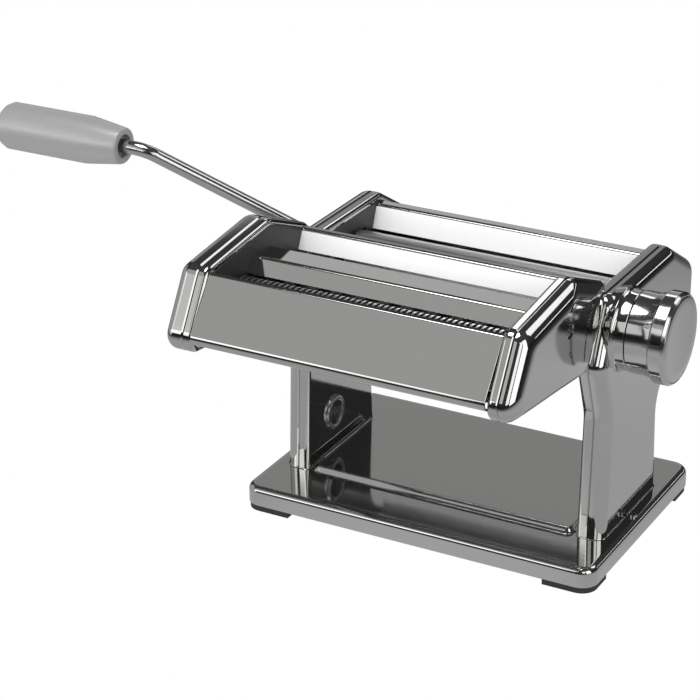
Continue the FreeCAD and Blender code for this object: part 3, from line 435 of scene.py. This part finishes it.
def make_sides():
    sheet = MATERIALS["chromed_sheet"]
    for word, side in (("left", -1), ("right", 1)):
        left = side < 0
        plate_holes = [circle(*DRIVE, DRIVE_BUSH), circle(*DIAL, BUSH), SLOT]
        cover_holes = [circle(*DIAL, DIAL_PORT)]
        recesses = [circle(*GUIDE_ROD, SCREW_RECESS)]
        crown, cutter_side = RIGHT_CROWN, SIDE
        if left:
            plate_holes.append(circle(*CLAMP, CLAMP_BORE))
            cover_holes = [circle(*DRIVE, DRIVE_PORT), circle(*CLAMP, CLAMP_BORE)]
            recesses += [circle(*NARROW[0], CUTTER_PORT), circle(*WIDE[0], CUTTER_PORT)]
            crown, cutter_side = None, LEFT_CUTTER_SIDE
        socket = CUTTER_SOCKET if left else BUSH
        frame_holes = [circle(*place, radius) for pair in (NARROW, WIDE)
                       for place, radius in zip(pair, (socket, BUSH))]
        pans = [("frame_plate", LEG, SEAM, WEB, PLATE_RIM, plate_holes, FLOOR, None),
                ("side_cover", LEG, SEAM, SIDE, COVER_RIM, cover_holes, FLOOR, None),
                ("cutter_frame", CUTTER, CUTTER_SEAM, WEB, PLATE_RIM, frame_holes, None, None),
                ("cutter_cover", CUTTER, CUTTER_SEAM, cutter_side, CUTTER_RIM, recesses, None, crown)]
        for part, outline, mouth, face, rim, holes, floor, flat in pans:
            name = f"{word}_{part}_skin"
            mesh = pressed_pan(name, outline, side, mouth, face, rim, holes, floor, flat)
            flatten(link_piece(name, mesh, "frame", sheet, f"{word}_{part}"))


# Turned, swept and folded pieces

LATHE_STEPS = 96
PANEL_GAUGE, PANEL_EDGE = 1.2, 0.2
FACES_FRONT = -0.85
ROD_STEPS, BEND_STEPS = 40, 16
ROD_NIP = 0.2


def lathe(name, outline, place, body, material, node=None, bevel=0):
    """Piece turned about a line along X; the outline is closed, in (x, radius)."""
    build = bmesh.new()
    rings = []
    for x, radius in outline:
        ring = circle(*place, radius, LATHE_STEPS) if radius else [place]
        rings.append([build.verts.new((x, y, z)) for y, z in ring])
    closed = outline[0][1] > 0 and outline[-1][1] > 0
    for one, two in zip(rings, rings[1:] + ([rings[0]] if closed else [])):
        if len(one) == 1 and len(two) == 1:
            continue
        if len(one) == 1 or len(two) == 1:
            tip, ring = (one, two) if len(one) == 1 else (two, one)
            for step in range(LATHE_STEPS):
                build.faces.new((tip[0], ring[step], ring[(step + 1) % LATHE_STEPS]))
        else:
            bridge(build, one, two)
    piece = link_piece(name, close_mesh(name, build), body, material, node)
    if bevel:
        soften(piece, bevel)


def bent_line(points, radius, steps=12):
    """Open line through corners that are rounded to one radius, or to one each; points have directions."""
    line = [(Vector(points[0]), (Vector(points[1]) - Vector(points[0])).normalized())]
    bends = radius if isinstance(radius, list) else [radius] * (len(points) - 2)
    for before, corner, after, bend in zip(points, points[1:], points[2:], bends):
        before, corner, after = Vector(before), Vector(corner), Vector(after)
        into, out = (corner - before).normalized(), (after - corner).normalized()
        turn = into.angle(out)
        start = corner - into * bend * math.tan(turn / 2)
        inward = (out - into * into.dot(out)).normalized()
        for step in range(steps + 1):
            angle = turn * step / steps
            place = start + into * bend * math.sin(angle) + inward * bend * (1 - math.cos(angle))
            line.append((place, into * math.cos(angle) + inward * math.sin(angle)))
    line.append((Vector(points[-1]), (Vector(points[-1]) - Vector(points[-2])).normalized()))
    return line


def sheet_strip(name, points, radius, body, material, node, front=None):
    """Folded sheet between the sides: its outer line runs through the points in (y, z).

    A front material, which paints a reflection of white light, goes on the faces that look towards the
    front.
    """
    build = bmesh.new()
    line = bent_line(points, radius)
    outer = [place for place, along in line]
    inner = [place + Vector((along.y, -along.x)) * PANEL_GAUGE for place, along in line]
    section = outer + inner[::-1]
    ends = [[build.verts.new((x, *place)) for place in section] for x in (-WEB, WEB)]
    bridge(build, *ends)
    for end in ends:
        fill(build, end)
    piece = link_piece(name, close_mesh(name, build), body, material, node)
    # painted reflection: faces turned to the front get the dull white material
    if front:
        piece.data.materials.append(front)
        for polygon in piece.data.polygons:
            polygon.material_index = int(polygon.normal.y < FACES_FRONT)
    soften(piece, PANEL_EDGE)


def swept_rod(name, points, bend, radius, body, material, node):
    """Round rod along a bent line, with chamfered ends."""
    build = bmesh.new()
    line = bent_line(points, bend, BEND_STEPS)
    first, last = line[0], line[-1]
    nip = radius * ROD_NIP
    stations = [(first[0], first[1], radius - nip), (first[0] + first[1] * nip, first[1], radius)]
    stations += [(place, along, radius) for place, along in line[1:-1]]
    stations += [(last[0] - last[1] * nip, last[1], radius), (last[0], last[1], radius - nip)]
    side = (line[0][1].cross(line[len(line) // 2][1])).normalized()
    rings = []
    for place, along, reach in stations:
        up = side.cross(along)
        rings.append([build.verts.new(place + (side * math.cos(turn) + up * math.sin(turn)) * reach)
                      for turn in full_turn(ROD_STEPS)])
    for one, two in zip(rings, rings[1:]):
        bridge(build, one, two)
    fill(build, rings[0])
    fill(build, rings[-1])
    flatten(link_piece(name, close_mesh(name, build), body, material, node))


# Base

BASE_HALF = (99, 66.5)
PLATEAU = (75, -36, 34)
TRAY_CORNER, PLATEAU_CORNER = 9, 5
SKIRT_BOTTOM, SKIRT_NIP, PLATEAU_TOP = 3, 0.4, 16.5
BASE_EDGE, FLAT_EDGE = 3.5, 0.6
# Width of the fold round the raised middle, and how far outside its outline it starts
FOLD, FOLD_OUTSIDE = 3.6, 1


def rounded_box(left, right, front, back, radius):
    return rounded([(left, front), (left, back), (right, back), (right, front)], [radius] * 4)


def make_base():
    """Pressed tray with a raised middle and a rolled top edge."""
    build = bmesh.new()
    tray = rounded_box(-BASE_HALF[0], BASE_HALF[0], -BASE_HALF[1], BASE_HALF[1], TRAY_CORNER)
    middle = rounded_box(-PLATEAU[0], PLATEAU[0], PLATEAU[1], PLATEAU[2], PLATEAU_CORNER)

    def rings(outline, levels):
        """Rings at levels that each give a distance back from the outline and a height."""
        return [[build.verts.new((*(point - normal * back), z)) for point, normal in outline]
                for back, z in levels]

    def rolled_edge(radius):
        turns = [math.radians(90 * step / RIM_STEPS) for step in range(RIM_STEPS + 1)]
        return [(BASE_EDGE - radius * math.cos(turn), FLOOR - BASE_EDGE + radius * math.sin(turn))
                for turn in turns]

    outer = rings(tray, [(SKIRT_NIP, SKIRT_BOTTOM), (0, SKIRT_BOTTOM + SKIRT_NIP)] + rolled_edge(BASE_EDGE)
                  + [(BASE_EDGE + FLAT_EDGE, FLOOR)])
    fold = []
    for step in range(2 * RIM_STEPS + 1):
        part = step / (2 * RIM_STEPS)
        rise = (PLATEAU_TOP - FLOOR) * (1 - math.cos(math.pi * part)) / 2
        fold.append((FOLD * part - FOLD_OUTSIDE, FLOOR + rise))
    raised = rings(middle, [(-FOLD_OUTSIDE - FLAT_EDGE, FLOOR)] + fold
                   + [(FOLD - FOLD_OUTSIDE + FLAT_EDGE, PLATEAU_TOP)])
    inner = rings(tray, [(SHEET, SKIRT_BOTTOM)] + rolled_edge(BASE_EDGE - SHEET))
    for skin in (outer, raised, inner):
        for one, two in zip(skin, skin[1:]):
            bridge(build, one, two)
    bridge(build, outer[0], inner[0])
    fill(build, outer[-1], raised[0])
    fill(build, raised[-1])
    fill(build, inner[-1])
    mesh = close_mesh("base_tray", build)
    sheet = MATERIALS["chromed_sheet"]
    flatten(link_piece("base_tray", mesh, "frame", sheet, "base_plate"))


# Panels between the sides: name, corners in (y, z), bend radii and the node that each stands for
PANEL_BEND = 1.3
PANELS = [
    ("front_panel_sheet", [(-124.4, 158.5), (-125.9, 158.2), (-145.6, 131.8), (-131.1, 124.1)],
     [0.7, 2.4], "cutter_front_panel"),
    ("cutter_feed_sheet", [(-33.5, 150.3), (-37.5, 151), (-41.8, 141.4)], PANEL_BEND, "cutter_feed_panel"),
    ("guide_sheet", [(-66.5, 147), (-69.5, 152), (-87.3, 154), (-92.5, 147)], PANEL_BEND, "middle_guide"),
    ("rear_feed_sheet", [(74, 98), (74, 117.2), (70.5, 123.2), (48, 136.4), (42, 136.8), (37.5, 125.2)],
     PANEL_BEND, "rear_feed_panel"),
]


def make_sheets():
    sheet = MATERIALS["chromed_sheet"]
    for name, points, radius, node in PANELS:
        # the feed panels' front faces get a painted reflection of white light
        front = MATERIALS["painted_reflection_white"] if "feed" in name else None
        sheet_strip(name, points, radius, "frame", sheet, node, front)


# painted shade: black sheets on the inner faces of the sides, where those faces lie in shade
SHADE_SHEET_FACE, SHADE_SHEET_BACK = WEB - 0.4, WEB + 0.2
SHADE_SHEET_HOLE = 8


def make_liners():
    """Black sheets on the inner faces of the sides, beside the feed slots: painted shade."""
    head = rounded([(-30, 129.5), (-25, 139), (46, 139), (72, 122), (72, 114), (31, 114), (29, 129.5)],
                   [2, 4, 5, 5, 3, 2, 2], 4)
    cutter = rounded([(-142, 128.5), (-125, 158.5), (-69, 164.5), (-30, 148.5), (-46.5, 116)],
                     [5, 5, 12, 5, 5], 6)
    cutter_holes = [circle(*place, SHADE_SHEET_HOLE) for place in NARROW + WIDE]
    for word, side in (("left", -1), ("right", 1)):
        for part, outline, holes in (("head", head, []), ("cutter", cutter, cutter_holes)):
            build = bmesh.new()
            lines = [[point for point, normal in outline]] + holes
            rings = [[[build.verts.new((side * x, *place)) for place in line] for line in lines]
                     for x in (SHADE_SHEET_FACE, SHADE_SHEET_BACK)]
            for one, two in zip(*rings):
                bridge(build, one, two)
            for face in rings:
                fill(build, *face)
            name = f"{word}_{part}_shade_sheet"
            link_piece(name, close_mesh(name, build), "frame", MATERIALS["black_nylon"])


# Knob and crank

# Flared band of the knob, from (x, radius) to (x, radius), and the numbers on it
BAND = ((105.7, 20.6), (110.4, 21.8))
DIGIT_SIZE, DIGIT_DEPTH = 4.4, 0.05
LAST_DIGIT = 9
LAST_DIGIT_AT, DIGIT_STEP = math.radians(33), math.radians(16.5)


def make_knob():
    chrome, plated = MATERIALS["chromed_sheet"], MATERIALS["knob_plastic"]
    lathe("dial_collar", [(84.5, 17), (84.5, 20.2), (91, 21.9), (91.4, 21.2), (92.2, 20.6), (93.4, 20.2),
                          (97.6, 20.2), (97.6, 17)],
          DIAL, "frame", chrome, bevel=0.5)
    lathe("knob_barrel", [(98.2, 10), (98.2, 20.6), *BAND, (110.4, 21), (110.8, 21), (110.8, 22.7),
                          (111.4, 23.2), (117.3, 23.2), (118.9, 22.1), (118.9, 21.46), (117, 21.46),
                          (117, 10), (105.4, 10), (105.4, 4.06), (103.4, 4.06), (103.4, 10)],
          DIAL, "knob", plated, "thickness_knob", bevel=0.4)
    lathe("knob_end_cap", [(117, 0), (117, 21.4), (118.8, 21.4), (119.4, 20.2), (119.4, 16.4), (119, 12.4),
                           (119, 0)],
          DIAL, "knob", plated, "knob_cap", bevel=0.2)


def make_digits():
    """Numbers of the dial on the flared band of the knob, with their tops towards its end."""
    build = bmesh.new()
    (low_x, low_radius), (high_x, high_radius) = BAND
    for digit in range(LAST_DIGIT + 1):
        curve = bpy.data.curves.new(f"digit_{digit}", "FONT")
        curve.body = str(digit)
        curve.size, curve.extrude = DIGIT_SIZE, DIGIT_DEPTH
        curve.align_x, curve.align_y = "CENTER", "CENTER"
        sign = bpy.data.objects.new(f"digit_{digit}", curve)
        bpy.context.scene.collection.objects.link(sign)
        shaped = sign.evaluated_get(bpy.context.evaluated_depsgraph_get())
        flat = bpy.data.meshes.new_from_object(shaped)
        middle = LAST_DIGIT_AT + DIGIT_STEP * (LAST_DIGIT - digit)
        for vertex in flat.vertices:
            x = (low_x + high_x) / 2 + vertex.co.y
            surface = low_radius + (high_radius - low_radius) * (x - low_x) / (high_x - low_x)
            radius = surface + vertex.co.z
            turn = middle - vertex.co.x / radius
            vertex.co = (x, DIAL[0] - radius * math.cos(turn), DIAL[1] + radius * math.sin(turn))
        build.from_mesh(flat)
        bpy.data.meshes.remove(flat)
        bpy.data.objects.remove(sign)
        bpy.data.curves.remove(curve)
    mesh = close_mesh("dial_numbers", build)
    link_piece("dial_numbers", mesh, "knob", MATERIALS["dial_ink"])


def make_clamp_socket():
    lathe("clamp_socket_ring", [(-76.6, 6.5), (-75.5, 6.9), (-75.2, 7.8), (-75.4, 8.8), (-76.2, 9.4),
                                (-77, 9.6), (-77, 7.6), (-91, 7.6), (-91, 9.6), (-91.6, 9.4), (-92, 8.6),
                                (-92, 6.5)],
          CLAMP, "frame", MATERIALS["roller_aluminium"], "clamp_socket")


CRANK_ANGLE = math.radians(46.3)
CRANK_REACH = 91
CRANK_BEND, CRANK_RADIUS = 15, 3.75
GRIP = (DRIVE[0] - CRANK_REACH * math.sin(CRANK_ANGLE), DRIVE[1] + CRANK_REACH * math.cos(CRANK_ANGLE))


def make_crank():
    swept_rod("crank_rod_bent", [(-66, *DRIVE), (-112, *DRIVE), (-185, *GRIP), (-262, *GRIP)],
              CRANK_BEND, CRANK_RADIUS, "crank", MATERIALS["steel"], "crank_rod")
    lathe("grip_body", [(-198, 6.2), (-198, 9.1), (-198.8, 9.9), (-220, 12.9), (-270, 12.9), (-272.6, 11.6),
                        (-275, 9.2), (-275, 0), (-263, 0), (-263, 3.82), (-202, 3.82), (-202, 6.2)],
          GRIP, "grip", MATERIALS["grip_plastic"], "crank_grip", bevel=0.45)


def make_rollers():
    metal = MATERIALS["roller_aluminium"]
    lathe("drive_roller_turned", [(-92.5, 3.82), (-92.5, 6), (-74.5, 6), (-74.5, 17), (74.5, 17), (74.5, 6),
                                  (82.2, 6), (82.2, 0), (-62.5, 0), (-62.5, 3.82)],
          DRIVE, "drive_roller_set", metal, "drive_roller", bevel=0.4)
    lathe("driven_roller_turned", [(-89, 0), (-89, 5), (-74.5, 5), (-74.5, 17), (74.5, 17), (74.5, 5),
                                   (82.2, 5), (82.2, 0)],
          DRIVEN, "driven_roller_set", metal, "driven_roller", bevel=0.4)


# Studio

MIRROR_RAYS = ("Is Glossy Ray", "Is Transmission Ray")
CAMERA_RAYS = ("Is Camera Ray",)


def ray_mix(tree, plain, seen, rays):
    """Shader that is the second one to the listed kinds of ray and the first one to the rest."""
    paths = tree.nodes.new("ShaderNodeLightPath")
    total = paths.outputs[rays[0]]
    for ray in rays[1:]:
        total = add_math(tree, "MINIMUM", add_math(tree, "ADD", total, paths.outputs[ray]), 1.0)
    mix = tree.nodes.new("ShaderNodeMixShader")
    link(tree, total, mix.inputs[0])
    link(tree, plain, mix.inputs[1])
    link(tree, seen, mix.inputs[2])
    return mix.outputs[0]


FLOOR_REACH = 4.0
# Painted light on the floor that only mirrors see: brightness of a painted pool of light, with painted
# shade close to the machine, by distance from its centre in metres
POOL_CENTRE = (0.0, -0.05, 0.0)
PAINTED_POOL_STOPS = [(0.0, 0.62), (0.08, 0.6), (0.12, 0.5), (0.2, 0.5), (0.3, 0.54), (0.42, 0.42), (0.6, 0.2),
              (0.9, 0.04)]


def add_ramp(tree, source, stops):
    """Grey ramp over a value that runs from 0 to 1."""
    ramp = tree.nodes.new("ShaderNodeValToRGB")
    elements = ramp.color_ramp.elements
    while len(elements) < len(stops):
        elements.new(0.5)
    for element, (position, value) in zip(elements, stops):
        element.position = position
        element.color = grey(value)
    link(tree, source, ramp.inputs[0])
    return ramp.outputs[0]


def make_floor():
    """Pale floor, white to the camera; mirrors see a painted pool of light on it, darker close to the
    machine as painted shade, that fades with distance.
    """
    material = bpy.data.materials.new("studio_floor")
    material.use_nodes = True
    tree = material.node_tree
    shader = next(node for node in tree.nodes if node.type == "BSDF_PRINCIPLED")
    shader.inputs["Base Color"].default_value = grey(0.8)
    shader.inputs["Roughness"].default_value = 0.9
    out = next(node for node in tree.nodes if node.type == "OUTPUT_MATERIAL")
    white = add_node(tree, "ShaderNodeEmission", Color=(1, 1, 1, 1), Strength=1.0)
    offset = add_node(tree, "ShaderNodeVectorMath")
    offset.operation = "DISTANCE"
    link(tree, tree.nodes.new("ShaderNodeTexCoord").outputs["Object"], offset.inputs[0])
    offset.inputs[1].default_value = POOL_CENTRE
    # painted light: a glowing pool that only mirror rays see
    pool = add_node(tree, "ShaderNodeEmission", Strength=1.0)
    link(tree, add_ramp(tree, offset.outputs["Value"], PAINTED_POOL_STOPS), pool.inputs["Color"])
    mirrored = ray_mix(tree, shader.outputs[0], pool.outputs[0], MIRROR_RAYS)
    link(tree, ray_mix(tree, mirrored, white.outputs[0], CAMERA_RAYS), out.inputs["Surface"])
    mesh = bpy.data.meshes.new("floor")
    corners = [(-FLOOR_REACH, -FLOOR_REACH, 0), (FLOOR_REACH, -FLOOR_REACH, 0),
               (FLOOR_REACH, FLOOR_REACH, 0), (-FLOOR_REACH, FLOOR_REACH, 0)]
    mesh.from_pydata(corners, [], [(0, 1, 2, 3)])
    mesh.materials.append(material)
    floor = bpy.data.objects.new("floor", mesh)
    bpy.context.scene.collection.objects.link(floor)


ROOM_STOPS = [(0.0, 0.015), (0.2, 0.03), (0.6, 0.05), (1.0, 0.08)]
EVEN_LIGHT = 0.85


def make_world():
    """White to the camera, even light for dull surfaces, and a dark room for mirrors."""
    world = bpy.data.worlds.new("studio")
    bpy.context.scene.world = world
    world.use_nodes = True
    tree = world.node_tree
    out = next(node for node in tree.nodes if node.type == "OUTPUT_WORLD")
    even = next(node for node in tree.nodes if node.type == "BACKGROUND")
    even.inputs["Color"].default_value = (1, 1, 1, 1)
    even.inputs["Strength"].default_value = EVEN_LIGHT
    parts = tree.nodes.new("ShaderNodeSeparateXYZ")
    link(tree, tree.nodes.new("ShaderNodeTexCoord").outputs["Generated"], parts.inputs[0])
    room = add_node(tree, "ShaderNodeBackground", Strength=1.0)
    link(tree, add_ramp(tree, parts.outputs["Z"], ROOM_STOPS), room.inputs["Color"])
    white = add_node(tree, "ShaderNodeBackground", Color=(1, 1, 1, 1), Strength=1.0)
    mirrored = ray_mix(tree, even.outputs[0], room.outputs[0], MIRROR_RAYS)
    link(tree, ray_mix(tree, mirrored, white.outputs[0], CAMERA_RAYS), out.inputs["Surface"])


# Light cards: name, centre in metres, direction they face, width, height and brightness
CARDS = [
    ("feed_card", (-0.395, -0.5, 0.285), (0, 1, 0), 0.61, 0.15, 1.7),
    ("band_card", (-1.0, -0.78, 0.38), (1, 0.35, -0.1), 0.45, 0.85, 0.85),
    ("dial_card", (1.0, -0.4, 0.55), (-1, 0.35, -0.4), 0.55, 0.9, 1.9),
    ("rim_glow", (-0.04, -0.72, 0.56), (0, 1, -0.4), 0.3, 0.22, 0.7),
    ("seam_glow", (-0.54, -0.72, 0.46), (0.4, 0.8, -0.3), 0.4, 0.26, 0.35),
    ("left_card", (-1.0, -0.1, 0.35), (1, 0, 0), 0.8, 0.7, 0.45),
    ("rim_card", (0.44, 0.6, 0.78), (-0.4, -0.65, -0.6), 0.45, 0.36, 1.6),
    ("rim_strip", (0.46, -0.55, 0.42), (-0.55, 0.6, -0.45), 0.2, 0.35, 1.6),
    ("panel_card", (-0.54, -0.72, 0.76), (0.42, 0.62, -0.66), 0.8, 0.5, 0.48),
    ("base_card", (-0.52, 0.96, 0.5), (0.43, -0.8, -0.42), 1.0, 0.6, 0.3),
    ("guide_card", (-0.5, 0.97, 0.39), (0.4, -0.9, -0.15), 1.0, 0.14, 0.25),
    ("crest_strip", (-0.22, 0.86, 0.8), (0.38, -0.7, -0.6), 0.4, 0.12, 2.5),
    ("back_strip", (0.6, 1.0, 0.35), (-0.5, -0.85, -0.2), 0.6, 0.05, 2.0),
    ("top_box", (-0.2, -0.2, 1.3), (0.15, 0.15, -1), 0.6, 0.6, 5.5),
]


def add_card(name, centre, facing, width, height, brightness):
    data = bpy.data.lights.new(name, "AREA")
    data.shape = "RECTANGLE"
    data.size, data.size_y = width, height
    data.energy = brightness * math.pi * width * height
    lamp = bpy.data.objects.new(name, data)
    lamp.location = centre
    lamp.rotation_euler = (-Vector(facing)).to_track_quat("Z", "Y").to_euler()
    lamp.visible_camera = False
    bpy.context.scene.collection.objects.link(lamp)


add_camera()
dress_nodes()
make_sides()
make_base()
make_sheets()
make_liners()
make_knob()
make_digits()
make_clamp_socket()
make_crank()
make_rollers()
make_floor()
make_world()
for card in CARDS:
    add_card(*card)
bpy.context.scene.view_settings.view_transform = "Standard"
